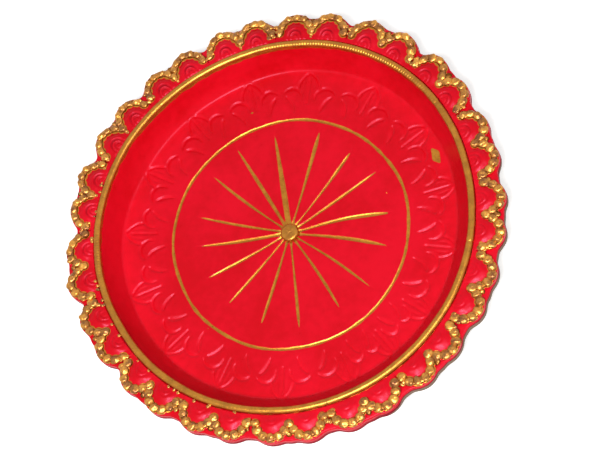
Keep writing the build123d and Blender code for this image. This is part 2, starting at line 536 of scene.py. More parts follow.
# One upright leaf, pointed at both ends: the outline of its upper half, a midrib and two veins
def leafPress(u, v):
    share = np.clip((v - plate["leafBase"]) / plate["leafLength"], 0, 1)
    half = plate["leafWidth"] / 2 * np.sin(math.pi * share) ** 0.9
    outline = smooth(0.44, 0.54, share) * softLine(np.abs(u) - half, plate["leafLine"])
    midrib = (1 - smooth(0.74, 0.92, share)) * softLine(u, plate["leafRib"])
    vein = between((0.34, 0.50), (0.7, 0.85), share) * softLine(np.abs(u) - 0.48 * half, plate["leafVein"])
    return between((0.0, 0.06), (0.95, 1.0), share) * np.maximum(outline, np.maximum(midrib, 0.5 * vein))


# A curved tapering stroke along part of an oval, steeper outside than inside
def strokePress(u, v, middleU, middleV, wide, high, start, end, half):
    turn = np.arctan2((v - middleV) / high, (u - middleU) / wide)
    ring = np.hypot((u - middleU) / wide, (v - middleV) / high)
    share = np.clip((turn - start) / (end - start), 0, 1)
    swell = half * (0.25 + 0.75 * np.sin(math.pi * share))
    distance = (ring - 1) * math.sqrt(wide * high)
    flank = swell * np.where(distance > 0, 0.55, 1.25)
    return between((0, 0.12), (0.88, 1), share) * softLine(distance, flank)


def leafField(angle, radius):
    depth = np.zeros_like(radius)
    v = radius - plate["circleRadius"]
    middles = np.radians(uprightLeaves)
    for middle, nextMiddle in zip(middles, np.roll(middles, -1)):
        gap = turnBetween(nextMiddle, middle)
        stretch = plate["leafMiddle"] * math.radians(plate["leafPitch"]) / abs(gap)
        depth = np.maximum(depth, leafPress(turnBetween(angle, middle) * plate["leafMiddle"], v))
        u = turnBetween(angle, middle + gap / 2) * stretch
        for stroke in archStrokes:
            depth = np.maximum(depth, strokePress(u, v, *stroke))
            depth = np.maximum(depth, strokePress(-u, v, *stroke))
    return plate["leafDepth"] * depth


def spillField(x, y):
    gilt = np.full_like(x, noGold)
    for spillX, spillY, halfLength, halfWidth, spillTurn, lean in goldSpills:
        turn = math.radians(spillTurn)
        across = -(x - spillX) * math.sin(turn) + (y - spillY) * math.cos(turn)
        along = (x - spillX) * math.cos(turn) + (y - spillY) * math.sin(turn) - lean * across
        corner = ((along / halfLength) ** 6 + (across / halfWidth) ** 6) ** (1 / 6)
        gilt = np.maximum(gilt, (1 - corner) * halfWidth)
    return gilt


# Plate body: floor, wall, flange and underside as loops from the middle of the floor to the middle below
angles = np.arange(plate["segments"]) * tau / plate["segments"]
wave = handWobble(angles, seed=11, size=plate["unevenness"], orders=range(2, 9))
creaseRadii = np.array(plate["creaseRadii"])
creasePlace = angles / tau * len(creaseRadii)
creaseHere = creasePlace.astype(int) % len(creaseRadii)
creaseTurn = smooth(0, 1, creasePlace % 1)
crease = creaseRadii[creaseHere] * (1 - creaseTurn) + np.roll(creaseRadii, -1)[creaseHere] * creaseTurn
wallRise = rimTop - floorTop
outerRun = coilInner - creaseRadii.mean()
outerAcross = plate["wallThickness"] * math.hypot(outerRun, wallRise) / wallRise
flangeUnder = rimTop - plate["flangeThickness"]

# Outline of the flange: a lobe round each petal and one between the two, with softened notches
lobeTips = []
for number in range(len(pairNodes)):
    turn = number * pairPitch
    dipHere = plate["dip"] + plate["farDip"] * max(towards(plate["farSide"], turn), 0.0)
    lobeTips += [(turn - petalAngle, rimReach), (turn + petalAngle, rimReach), (turn, rimReach - dipHere)]
nearFill = plate["nearFill"] * smooth(-0.25, 0.35, towards(plate["nearSide"], angles))
outline = np.maximum(lobeReach(angles, lobeTips, plate["flangeLobe"]), rimReach - plate["notch"] + nearFill)
kernel = np.exp(-np.linspace(-2, 2, 9) ** 2)
spare = len(kernel) // 2
wrapped = np.concatenate([outline[-spare:], outline, outline[:spare]])
softened = np.convolve(wrapped, kernel / kernel.sum(), "valid")
outline = np.minimum(softened, rimReach - plate["edgeMargin"])
outline = outline - np.abs(handWobble(angles, seed=5, size=0.22, orders=range(7, 40, 3)))


def outerWall(height):
    return creaseRadii.mean() + outerAcross + (height - floorTop) * outerRun / wallRise


# One within the inner turn of a side, fading to zero at the outer turn
def sideMask(side, inner, outer):
    return smooth(outer, inner, np.abs(turnBetween(angles, math.radians(side))))


loops = []
giltMarks = [np.array([noGold])]
shadeAndBareMarks = [np.array([0.0])]


def addLoop(radius, height, gilt, shadeAndBare):
    loops.append(ringPoints(radius, angles, height))
    giltMarks.append(np.clip(np.broadcast_to(gilt, angles.shape), noGold, giltLimit))
    shadeAndBareMarks.append(np.broadcast_to(shadeAndBare, angles.shape))


# Floor, with the sun, its circle and the leaf band pressed in
circleRadius = plate["circleRadius"]
circleZone = plate["circleZone"]
circleMiddle = circleRadius + handWobble(angles, seed=3, size=0.28, orders=range(2, 12))
circleHalf = plate["circleWidth"] / 2 + handWobble(angles, seed=4, size=0.10, orders=range(5, 60, 4))
floorRadii = [np.full_like(angles, radius) for radius in np.concatenate([
    [3.0, bossRadius - 0.6],
    np.linspace(bossRadius, circleRadius - circleZone - plate["loopGap"], plate["rayLoops"]),
    np.linspace(circleRadius - circleZone, circleRadius + circleZone, plate["circleLoops"]),
])]
bandStart = circleRadius + circleZone + plate["loopGap"]
bandWidth = crease - plate["cove"] - bandStart
floorRadii += [bandStart + share * bandWidth for share in np.linspace(0, 1, plate["bandLoops"])]
for radius in floorRadii:
    x = radius * np.cos(angles)
    y = radius * np.sin(angles)
    rayPress, rayGilt = rayField(x, y)
    fromCircle = np.abs(radius - circleMiddle)
    circlePress = groove(fromCircle, circleHalf, plate["circleFlat"], plate["circleBank"])
    press = np.maximum(rayPress, plate["circleDepth"] * circlePress)
    press = np.maximum(press, leafField(angles, radius))
    gilt = np.maximum(np.maximum(rayGilt, circleHalf - fromCircle), spillField(x, y))
    sag = plate["sag"] * np.cos(3 * angles + radius / 9) * smooth(12, 40, radius)
    rise = plate["floorShare"] * (wave * smooth(10, 60, radius) - sag)
    addLoop(radius, floorTop + rise - press, gilt, 0.0)

# Cove, wall, rounded lip and the seat of the coil
wallRun = coilInner - crease
wallLength = np.hypot(wallRun, wallRise)
slopeOut = wallRun / wallLength
slopeUp = wallRise / wallLength
for share in (0.25, 0.5, 0.75, 1.0):
    radius = crease - plate["cove"] * (1 - share) ** 2 + plate["cove"] * slopeOut * share**2
    press = leafField(angles, radius) * (1 - share)
    spills = spillField(radius * np.cos(angles), radius * np.sin(angles))
    addLoop(radius, floorTop + plate["cove"] * slopeUp * share**2 - press, spills, 0.0)
paintRun = plate["paintRun"] * sideMask(plate["paintRunSide"], 0.40, 0.75)
paintEdge = coilInner - 0.15 - paintRun + handWobble(angles, seed=8, size=0.12, orders=range(6, 70, 3))
wallRipple = handWobble(angles, seed=21, size=0.12, orders=range(3, 17))
wallEnd = wallLength - 0.9
for share in (0.15, 0.32, 0.5, 0.68, 0.85, 1.0):
    travelled = plate["cove"] + share * (wallEnd - plate["cove"])
    radius = crease + travelled * slopeOut
    belly = (plate["wallBelly"] + wallRipple) * math.sin(math.pi * share)
    addLoop(radius + belly, floorTop + travelled * slopeUp, radius - paintEdge, 0.0)
for out, rise in ((-0.1, -0.3), (0.05, 0.2), (0.2, 0.7), (0.8, 0.9), (coilMiddle - coilInner, 0.0)):
    addLoop(coilInner + out, rimTop + rise, coilInner + out - paintEdge, 0.0)

# Flange: land beyond the coil, scalloped edge with a soft arris whose side is painted darker lower down as
# shade, unpainted underside
outerPaint = coilOuter + 0.1 + handWobble(angles, seed=9, size=0.3, orders=range(5, 80, 4))
addLoop(coilOuter - 0.2, rimTop, outerPaint - coilOuter, 0.0)
for share in (0.1, 0.4, 0.75):
    radius = coilOuter + share * (outline - plate["arris"] - coilOuter)
    addLoop(radius, rimTop, outerPaint - radius, 0.0)
unpainted = sideMask(plate["unpaintedSide"], 0.45, 0.75)
# Side of the edge as inset, drop and mark: small marks paint shade down the side, marks near one leave
# unpainted clay
edgeProfile = ((plate["arris"], 0.0, 0.0), (0.35, 0.2, 0.0), (0.05, 0.75, 0.0), (0.0, 1.7, 0.06),
               (0.0, 4.0, 0.16), (0.1, 6.0, 0.24), (0.6, 6.8, 0.36),
               (plate["underInset"], plate["flangeThickness"], 0.8))
for inset, drop, shadeAndBare in edgeProfile:
    edgeShadeAndBare = np.minimum(shadeAndBare + unpainted * smooth(1.2, 2.6, drop), 1.0)
    addLoop(outline - inset, rimTop - drop, noGold, edgeShadeAndBare)
underEdge = outline - plate["underInset"]
for share in (0.5, 0.95):
    addLoop(underEdge + share * (outerWall(flangeUnder) + 0.6 - underEdge), flangeUnder, noGold, 0.95)
for height in (flangeUnder - 0.3, flangeUnder - 1.2, 7.0, plate["footBevel"] * 1.3):
    addLoop(outerWall(height) + plate["floorShare"] * wave, height, noGold, 0.85)
for inset, height in ((0.2, 0.75), (0.8, 0.2), (1.9, 0.0), (40.0, 0.0)):
    addLoop(outerWall(plate["footBevel"]) - inset, height, noGold, 1.0)
giltMarks.append(np.array([noGold]))
shadeAndBareMarks.append(np.array([1.0]))
plateMesh = skinLoops("plateBody", loops, (0, 0, floorTop), (0, 0, 0), {"gilt": giltMarks, "shadeAndBare": shadeAndBareMarks})
plateMesh.materials.append(redPaint)
bendRim(plateMesh)
plateBody = addPiece("plateBody", plateMesh)
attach(plateBody, "root")
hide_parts("plate_body")
print("plate body:", len(plateMesh.polygons), "faces")

# Sun boss: a low button with a rounded shoulder and a slightly sunk crown
boss = {
    "points": 72,
    "edgeInset": 0.25,  # inside the solid
    "topInset": 0.15,
    "edgeWobble": 0.018,
    "topWobble": 0.05,
    "crown": 0.92,  # share of the height in the middle
    "sink": -0.1,  # share of the height below the floor
    # Shares of the radius and the height, from the crown to the foot
    "profile": ((0.06, 0.93), (0.2, 0.95), (0.36, 0.985), (0.52, 1.0), (0.66, 0.985), (0.78, 0.92),
                (0.87, 0.80), (0.94, 0.60), (0.985, 0.34), (1.0, 0.12), (1.0, -0.1), (0.5, -0.1)),
}
bossAngles = np.arange(boss["points"]) * tau / boss["points"]
bossHeight = bossTop - floorTop - boss["topInset"]
bossWobble = handWobble(bossAngles, seed=31, size=boss["edgeWobble"], orders=range(2, 8))
bossEdge = (bossRadius - boss["edgeInset"]) * (1 + bossWobble)
bossUneven = handWobble(bossAngles, seed=37, size=boss["topWobble"], orders=range(1, 6))
bossLoops = []
for share, rise in boss["profile"]:
    height = floorTop + bossHeight * rise + bossUneven * (rise > 0.5)
    bossLoops.append(ringPoints(share * bossEdge, bossAngles, height))
bossMesh = skinLoops("sunBoss", bossLoops, (0, 0, floorTop + bossHeight * boss["crown"]),
                     (0, 0, floorTop + bossHeight * boss["sink"]),
                     {"even": [np.ones(2 + len(bossLoops) * boss["points"])]})
bossMesh.materials.append(goldPaint)
sunBoss = addPiece("sunBoss", bossMesh)
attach(sunBoss, "root")
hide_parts("sun_boss")
print("sun boss ready")


# A node tree for a modifier, with its named inputs
def newTree(name, sockets):
    tree = bpy.data.node_groups.new(name, "GeometryNodeTree")
    tree.is_modifier = True
    tree.interface.new_socket("Geometry", in_out="INPUT", socket_type="NodeSocketGeometry")
    for label, kind in sockets:
        tree.interface.new_socket(label, in_out="INPUT", socket_type="NodeSocket" + kind)
    tree.interface.new_socket("Geometry", in_out="OUTPUT", socket_type="NodeSocketGeometry")
    inputNode = tree.nodes.new("NodeGroupInput")
    given = {socket.name: Wire(tree, socket) for socket in inputNode.outputs if socket.name}
    return tree, Wire(tree), given


def endTree(wire, geometry, material):
    solid = wire.add("GeometryNodeRealizeInstances", None, {"Geometry": geometry})
    shaded = wire.add("GeometryNodeSetShadeSmooth", None, {"Geometry": solid})
    dressed = wire.add("GeometryNodeSetMaterial", None, {"Geometry": shaded, "Material": material})
    wire.add("NodeGroupOutput", None, {"Geometry": dressed})


def readMark(wire, name):
    return wire.add("GeometryNodeInputNamedAttribute", {"data_type": "FLOAT"}, {"Name": name})


def keepMark(wire, geometry, name, value):
    return wire.add("GeometryNodeStoreNamedAttribute", {"data_type": "FLOAT", "domain": "POINT"},
                    {"Geometry": geometry, "Name": name, "Value": value})


# A ring to sweep along a path, stretched sideways and upwards
def ovalRing(wire, points, radius, sideways, upwards):
    ring = wire.add("GeometryNodeCurvePrimitiveCircle", None, {"Resolution": points, "Radius": radius})
    widths = wire.add("ShaderNodeCombineXYZ", None, {"X": sideways, "Y": upwards, "Z": 1.0})
    return wire.add("GeometryNodeTransform", None, {"Geometry": ring, "Scale": widths})


# Runs a tree on a seed mesh and keeps the result as a plain mesh
def growPiece(name, seedMesh, tree, values):
    seed = addPiece(name + "Seed", seedMesh)
    modifier = seed.modifiers.new(name, "NODES")
    modifier.node_group = tree
    for item in tree.interface.items_tree:
        if item.in_out == "INPUT" and item.name in values:
            modifier[item.identifier] = values[item.name]
    depsgraph = bpy.context.evaluated_depsgraph_get()
    mesh = bpy.data.meshes.new_from_object(seed.evaluated_get(depsgraph))
    mesh.name = name
    seed.modifiers.remove(modifier)
    bpy.data.objects.remove(seed)
    return addPiece(name, mesh)


def seedFromPoints(name, points, edges, marks):
    mesh = bpy.data.meshes.new(name)
    mesh.from_pydata((points * mm).tolist(), edges, [])
    setMarks(mesh, marks)
    return mesh


# Rim coil: a rope of clay swept round the lip, tooled with fine cross ticks
coil = {
    "thickness": 1.74,
    "flatten": 1.22,  # width over height
    "lift": 0.99,  # middle above the rim, in thicknesses
    "ticks": 420,
    "stepsPerTick": 7,
    "profilePoints": 14,
    "tickDepth": 0.12,
    "tooledArcs": ((62.0, 0.95, 0.45), (190.0, 0.55, 0.22)),  # side, strength and spread
    "lapAngles": (-8.0, -73.0, 136.0, 38.5),
    "lapSwell": 0.10,
    "lapWidth": 1.3,
    "girth": 0.98,
}


def coilTree():
    sockets = [("Thickness", "Float"), ("Flatten", "Float"), ("Ticks", "Float"), ("Tick Depth", "Float"),
               ("Profile Points", "Int"), ("Material", "Material")]
    tree, wire, given = newTree("coilTree", sockets)
    path = wire.add("GeometryNodeMeshToCurve", None, {"Mesh": given["Geometry"]})
    phase = readMark(wire, "turn") * given["Ticks"] * tau
    beat = wire.add("ShaderNodeMath", {"operation": "COSINE"}, {0: phase})
    notch = (beat * 0.5 + 0.5) ** 2.0
    girth = readMark(wire, "swell") * (1 - notch * readMark(wire, "tooled") * given["Tick Depth"])
    sized = wire.add("GeometryNodeSetCurveRadius", None, {"Curve": path, "Radius": girth})
    upright = wire.add("GeometryNodeSetCurveNormal", {"mode": "Z_UP"}, {"Curve": sized})
    oval = ovalRing(wire, given["Profile Points"], given["Thickness"], given["Flatten"], 1.0)
    rope = wire.add("GeometryNodeCurveToMesh", None,
                    {"Curve": upright, "Profile Curve": oval, "Scale": girth})
    endTree(wire, keepMark(wire, rope, "even", 1.0), given["Material"])
    return tree


coilSteps = coil["ticks"] * coil["stepsPerTick"]
coilTurns = np.arange(coilSteps) / coilSteps
coilAngles = np.arange(coilSteps) * tau / coilSteps
coilRadius = coilMiddle + handWobble(coilAngles, seed=41, size=0.10, orders=range(2, 30, 3))
coilSwell = coil["girth"] + handWobble(coilAngles, seed=43, size=0.022, orders=range(4, 60, 5))
for lapAngle in coil["lapAngles"]:
    fromLap = turnBetween(coilAngles, math.radians(lapAngle)) * coilMiddle
    coilSwell += coil["lapSwell"] * softLine(fromLap, coil["lapWidth"]) * np.sign(fromLap + 0.2)
coilSwell = np.minimum(coilSwell, 1.0)
coilTooled = handWobble(coilAngles, seed=47, size=0.06, orders=range(3, 40, 3))
for toolAngle, strength, spread in coil["tooledArcs"]:
    coilTooled += strength * softLine(turnBetween(coilAngles, math.radians(toolAngle)), spread)
coilTooled = np.clip(coilTooled, 0.0, 1.0)
coilHeight = rimTop + coil["thickness"] * coil["lift"]
coilHeight = coilHeight + handWobble(coilAngles, seed=49, size=0.02, orders=range(2, 20, 3))
coilEdges = [(k, (k + 1) % coilSteps) for k in range(coilSteps)]
coilSeed = seedFromPoints("rimCoilSeed", ringPoints(coilRadius, coilAngles, coilHeight), coilEdges,
                          {"turn": coilTurns, "swell": coilSwell, "tooled": coilTooled})
rimCoil = growPiece("rimCoil", coilSeed, coilTree(), {
    "Thickness": coil["thickness"] * mm, "Flatten": coil["flatten"], "Ticks": float(coil["ticks"]),
    "Tick Depth": coil["tickDepth"], "Profile Points": coil["profilePoints"], "Material": goldPaint})
bendRim(rimCoil.data)
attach(rimCoil, "root")
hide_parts("rim_coil")
print("rim coil:", len(rimCoil.data.polygons), "faces")

# Petal pairs: a two-lobed slab with two domed, lined petals and gold under the beads
pair = {
    "lobeRadius": 11.0,
    "dip": 3.8,
    "edgeInset": 0.35,
    "lap": 0.25,  # beyond its share of the rim, at the inner edge
    "sink": 0.12,  # into the flange
    "footInset": 1.2,
    "slender": 0.78,  # half width over length of the arched lines
    "domeSpan": 7.3,  # half width of a petal at its foot
    "domeHeight": 1.72,
    "domePower": 3.2,  # flatter crown and steeper foot with more
    "lines": (3.8, 1.8),  # half spans of the nested lines cut into a petal
    "lineDepth": 1.2,
    "lineWidth": 0.55,
    "lineShade": 0.15,  # how dark the painted shade in the lines on the far side is
    "worn": 0.85,  # share of the lines' depth lost on the near side
    "arrisDrop": 0.45,
    "arrisWidth": 0.9,
    "giltReach": 2.9,
    "sideGilt": -0.6,  # below zero, so that the sides stay red
    "outlinePoints": 1200,
    "loopPoints": 264,
    "loops": 38,
    "wobble": 0.46,
    "wobbleScale": 210.0,
}


# Outline of one pair in its own frame, its middle on +X, as evenly spaced points
def pairOutline():
    lobe = pair["lobeRadius"]
    sideAngle = math.atan2(halfSpacing + lobe, petalMiddle)
    endAngle = pairPitch / 2 + pair["lap"] / slabInner
    sweep = np.linspace(-endAngle, endAngle, pair["outlinePoints"])
    tip = math.hypot(petalMiddle, halfSpacing) + lobe - pair["edgeInset"]
    reach = lobeReach(sweep, [(-petalAngle, tip), (petalAngle, tip), (0.0, tip - pair["dip"])], lobe)
    sideReach = math.hypot(petalMiddle, halfSpacing + lobe)
    sideShare = np.clip((endAngle - np.abs(sweep)) / (endAngle - sideAngle), 0, 1)
    reach = np.maximum(reach, slabInner + (sideReach - slabInner) * sideShare)
    outer = ringPoints(reach, sweep, 0.0)
    inner = ringPoints(slabInner, sweep[::-1], 0.0)
    closed = np.vstack([outer, inner[1:-1], outer[:1]])[:, :2]
    travelled = np.concatenate([[0], np.cumsum(np.hypot(*np.diff(closed, axis=0).T))])
    stops = np.arange(pair["loopPoints"]) * travelled[-1] / pair["loopPoints"]
    return np.stack([np.interp(stops, travelled, closed[:, side]) for side in (0, 1)], axis=1)


# Rise of the domed petals, which point away from the dish's middle, and where their lines are cut
def petalRise(x, y, lineDepth):
    ahead = x * math.cos(petalAngle) + np.abs(y) * math.sin(petalAngle) - slabInner - pair["footInset"]
    aside = np.abs(y) * math.cos(petalAngle) - x * math.sin(petalAngle)
    arch = np.hypot(aside, pair["slender"] * ahead)
    dome = pair["domeHeight"] * np.maximum(1 - (arch / pair["domeSpan"]) ** pair["domePower"], 0)
    cut = np.zeros_like(x)
    for line in pair["lines"]:
        cut = np.maximum(cut, softLine(arch - line, pair["lineWidth"]))
    cut = cut * smooth(0.0, 0.8, dome)
    foot = (0.3 + 0.7 * smooth(-0.6, 4.5, ahead)) * smooth(-1.4, -0.4, ahead)
    return (dome - lineDepth * cut) * foot, cut * foot


# One on the far side of the rim, zero on the near side
def farShare(turn):
    return 0.5 + 0.5 * towards(plate["farSide"], turn)


def pairSeed(ring, beads, turn):
    far = farShare(turn)
    lineDepth = pair["lineDepth"] * (1 - pair["worn"] * (1 - far))
    middle = np.array([petalMiddle + 1.0, 0.0])
    bottomHeight = rimTop - pair["sink"]
    shares = np.concatenate([np.linspace(0.03, 0.9, pair["loops"]), [0.93, 0.955, 0.975, 0.99, 1.0]])
    pairLoops = []
    gilts = [np.array([-1.0])]
    lineShades = [np.array([0.0])]
    for share in shares:
        flat = middle + share * (ring - middle)
        fromEdge = (1 - share) * np.hypot(*(ring - middle).T)
        arris = pair["arrisDrop"] * (1 - np.clip(fromEdge / pair["arrisWidth"], 0, 1)) ** 2
        arris = arris * smooth(1.5, 5.0, np.hypot(*flat.T) - slabInner)
        rise, cut = petalRise(flat[:, 0], flat[:, 1], lineDepth)
        fromBead = np.hypot(*(flat[:, None, :] - beads[None, :, :2]).T).min(axis=0)
        pairLoops.append(np.column_stack([flat, slabTop + rise - arris]))
        gilts.append(np.clip(pair["giltReach"] - fromBead, noGold, giltLimit))
        # Painted shade in the petals' cut lines, on the far side only
        lineShades.append(pair["lineShade"] * far * cut)
    sides = ((slabTop - 0.8, 0.0), (rimTop + 0.25, 0.0), (bottomHeight, 0.0), (bottomHeight, 0.5))
    for height, inset in sides:
        flat = ring - inset * (ring - middle)
        pairLoops.append(np.column_stack([flat, np.full(len(flat), height)]))
        gilts.append(np.full(len(flat), pair["sideGilt"]))
        lineShades.append(np.zeros(len(flat)))
    gilts.append(np.array([-1.0]))
    lineShades.append(np.array([0.0]))
    return skinLoops("petalPairSeed", pairLoops, (*middle, slabTop), (*middle, bottomHeight),
                     {"gilt": gilts, "shadeAndBare": lineShades})


# Turns a pair to its place and gives each its own hand-made unevenness
def pairTree():
    sockets = [("Turn", "Float"), ("Wobble", "Float"), ("Wobble Scale", "Float"), ("Seed", "Float"),
               ("Material", "Material")]
    tree, wire, given = newTree("petalPairTree", sockets)
    stir = wire.add("ShaderNodeTexNoise", {"noise_dimensions": "4D"}, {
        "Vector": wire.add("GeometryNodeInputPosition"), "W": given["Seed"], "Scale": given["Wobble Scale"],
        "Detail": 1.0}, "Color")
    centred = wire.add("ShaderNodeVectorMath", {"operation": "SUBTRACT"}, {0: stir, 1: (0.5, 0.5, 0.5)})
    upright = wire.add("ShaderNodeVectorMath", {"operation": "MULTIPLY"}, {0: centred, 1: (0.4, 0.4, 1.0)})
    pushed = wire.add("GeometryNodeSetPosition", None,
                      {"Geometry": given["Geometry"], "Offset": upright.scaled(given["Wobble"])})
    axis = wire.add("ShaderNodeCombineXYZ", None, {"Z": given["Turn"]})
    turned = wire.add("GeometryNodeTransform", None, {"Geometry": pushed, "Rotation": axis})
    endTree(wire, turned, given["Material"])
    return tree


# Beads: pellets of uneven size pressed side by side along the petals' edges, joined by the gold between them
bead = {
    "radius": 2.55,
    "segments": 16,
    "rings": 11,
    "lift": 0.36,  # middle of a bead above the slab
    "spread": 0.16,
    "stretch": 0.96,  # along the string
    "breadth": 1.16,
    "shift": 0.28,
    "squash": 0.49,
    "twist": 0.35,
    "inset": 0.60,  # from the places of the solids, on the near side
    "footFlare": 0.8,
    "joinPoints": 10,
    "joinWidth": 1.8,
    "joinSquash": 0.20,
    "lump": 1.5,  # unevenness of a pellet's skin
    "lumpScale": 480.0,
    "farSlim": 0.28,  # slimmer strings on the far side
    "crumbs": 7,  # small pellets at each foot
    "drops": 5,  # by the coil, on one side of the dish
    "dropSide": 215.0,
    "streak": (3.8, 2.7, 1.7),  # pellets below the shared point, on another side, from the slab's inner edge
    "streakSide": 130.0,
}


def beadTree():
    sockets = [("Bead Radius", "Float"), ("Segments", "Int"), ("Rings", "Int"), ("Spread", "Float"),
               ("Stretch", "Float"), ("Breadth", "Float"), ("Shift", "Float"), ("Squash", "Float"),
               ("Twist", "Float"), ("Join Points", "Int"), ("Join Width", "Float"), ("Join Squash", "Float"),
               ("Hollow", "Float"), ("Lump", "Float"), ("Lump Scale", "Float"), ("Seed", "Int"),
               ("Material", "Material")]
    tree, wire, given = newTree("beadStringTree", sockets)
    pellet = wire.add("GeometryNodeMeshUVSphere", None, {
        "Segments": given["Segments"], "Rings": given["Rings"], "Radius": given["Bead Radius"]})
    size = readMark(wire, "size")

    def lot(low, high, number):
        return wire.add("FunctionNodeRandomValue", {"data_type": "FLOAT"},
                        {2: low, 3: high, "Seed": given["Seed"] + number}, 1)

    nudge = wire.add("FunctionNodeRandomValue", {"data_type": "FLOAT_VECTOR"},
                     {"Min": (-1, -1, 0), "Max": (1, 1, 0), "Seed": given["Seed"]})
    placed = wire.add("GeometryNodeSetPosition", None,
                      {"Geometry": given["Geometry"], "Offset": nudge.scaled(given["Shift"])})
    low = 1 - given["Spread"]
    high = 1 + given["Spread"]
    long = lot(low, high, 1) * size * given["Stretch"]
    broad = lot(low, 1.0, 2) * size * readMark(wire, "slim") * given["Breadth"]
    tall = lot(low, 1.0, 3) * size * given["Squash"]
    scale = wire.add("ShaderNodeCombineXYZ", None, {"X": long, "Y": broad, "Z": tall})
    heading = readMark(wire, "heading") + lot(-1 * given["Twist"], given["Twist"], 4)
    turn = wire.add("ShaderNodeCombineXYZ", None, {"Z": heading})
    beads = wire.add("GeometryNodeInstanceOnPoints", None,
                     {"Points": placed, "Instance": pellet, "Rotation": turn, "Scale": scale})
    path = wire.add("GeometryNodeMeshToCurve", None, {"Mesh": placed})
    finer = wire.add("GeometryNodeResampleCurve", {"mode": "LENGTH"},
                     {"Curve": path, "Length": given["Bead Radius"]})
    upright = wire.add("GeometryNodeSetCurveNormal", {"mode": "Z_UP"}, {"Curve": finer})
    oval = ovalRing(wire, given["Join Points"], given["Join Width"], 1.0, given["Join Squash"])
    join = wire.add("GeometryNodeCurveToMesh", None,
                    {"Curve": upright, "Profile Curve": oval, "Fill Caps": True})
    both = wire.add("GeometryNodeJoinGeometry", None, {"Geometry": [beads, join]})
    solid = wire.add("GeometryNodeRealizeInstances", None, {"Geometry": both})
    where = wire.add("GeometryNodeInputPosition")
    swelling = (wire.noise(where, given["Lump Scale"], 1.0) - 0.5) * given["Lump"]
    outward = wire.add("GeometryNodeInputNormal")
    lumpy = wire.add("GeometryNodeSetPosition", None, {"Geometry": solid, "Offset": outward.scaled(swelling)})
    height = wire.add("ShaderNodeSeparateXYZ", None, {"Vector": where}, "Z") - given["Hollow"]
    # Painted shade: near one low down between the beads, but not on the small crumbs
    hollowShade = height.step(0.95 * mm, 0.1 * mm) * size.step(0.4, 0.9)
    endTree(wire, keepMark(wire, lumpy, "hollowShade", hollowShade), given["Material"])
    return tree


# Seats of the beads of one string: the middle of each pellet of the solids
def beadSeats(nodeName):
    cad = bmesh.new()
    cad.from_mesh(frame["nodes"][nodeName].data)
    bmesh.ops.remove_doubles(cad, verts=cad.verts, dist=1e-6)
    seats = []
    counted = set()
    for first in cad.verts:
        if first in counted:
            continue
        counted.add(first)
        stack = [first]
        island = []
        while stack:
            corner = stack.pop()
            island.append(corner.co / mm)
            for edge in corner.link_edges:
                other = edge.other_vert(corner)
                if other not in counted:
                    counted.add(other)
                    stack.append(other)
        middle = sum(island, Vector()) / len(island)
        seats.append((round(middle.x, 4), round(middle.y, 4)))
    cad.free()
    return np.array(sorted(seats))


# Small pellets heaped between the feet of two strings, one in the dip between two petals, gold drops by the
# coil on the left and a streak below the shared point on the far side
def goldCrumbs(number, turn):
    rng = np.random.default_rng(700 + number)
    drops = bead["drops"] if towards(bead["dropSide"], turn) > 0.5 else 0
    streak = np.array(bead["streak"] if towards(bead["streakSide"], turn) > 0.5 else ())
    side = np.repeat([-1, 1], bead["crumbs"])
    away = rng.uniform(0.4, 4.2, len(side)) / slabInner
    dropAngles = rng.uniform(-0.9, 0.9, drops) * pairPitch / 2
    angle = turn + np.concatenate([side * (pairPitch / 2 - away), [0.0], dropAngles, streak * 0])
    crumbRadii = slabInner + rng.uniform(3.2, 9.4, len(side))
    dropRadii = slabInner + rng.uniform(0.0, 0.8, drops)
    radius = np.concatenate([crumbRadii, [rimReach - pair["dip"] - 1.2], dropRadii, slabInner + streak])
    rise = np.concatenate([np.full(len(side), 0.2), [-0.2], np.full(drops + len(streak), 0.3)])
    crumbSizes = rng.uniform(0.38, 0.62, len(side))
    dropSizes = rng.uniform(0.28, 0.50, drops)
    sizes = np.concatenate([crumbSizes, [0.75], dropSizes, 0.22 + 0.08 * streak])
    return ringPoints(radius, angle, slabTop + rise), sizes


# Places of one string's beads in order up each foot, over the arch and down the shared point, drawn in a
# little from the near edge and with the feet spread, as points, edges and headings
def stringPath(nodeName, turn):
    seats = beadSeats(nodeName)
    x = seats[:, 0] * math.cos(turn) + seats[:, 1] * math.sin(turn)
    y = -seats[:, 0] * math.sin(turn) + seats[:, 1] * math.cos(turn)
    shared = np.abs(y) < 0.5
    around = np.arctan2(np.abs(y) - halfSpacing, np.maximum(x - petalMiddle, 0.01))
    order = np.where(shared, 1000 - x, np.minimum(x - petalMiddle, 0) - 50 * around)
    side = np.where(shared, 0, np.sign(y))
    ranked = np.lexsort((order, side))
    x, y, side = x[ranked], y[ranked], side[ranked]
    onArch = (side != 0) & (x > petalMiddle)
    heading = np.where(onArch, np.arctan2(x - petalMiddle, side * halfSpacing - y), 0.0)
    foot = smooth(petalMiddle + 2.0, petalMiddle - 4.0, x) * (np.abs(y) > halfSpacing)
    y = y + np.sign(y) * bead["footFlare"] * foot
    x = x - bead["inset"] * (1 - farShare(turn)) * smooth(petalMiddle, petalMiddle + 6.0, x)
    edges = [(k, k + 1) for k in range(len(x) - 1) if side[k] == side[k + 1]]
    stem = int(np.flatnonzero(side == 0)[0])
    edges += [(stem - 1, stem), (stem, len(x) - 1)]
    turnedX = x * math.cos(turn) - y * math.sin(turn)
    turnedY = x * math.sin(turn) + y * math.cos(turn)
    return np.column_stack([turnedX, turnedY, np.full(len(x), slabTop)]), edges, heading + turn


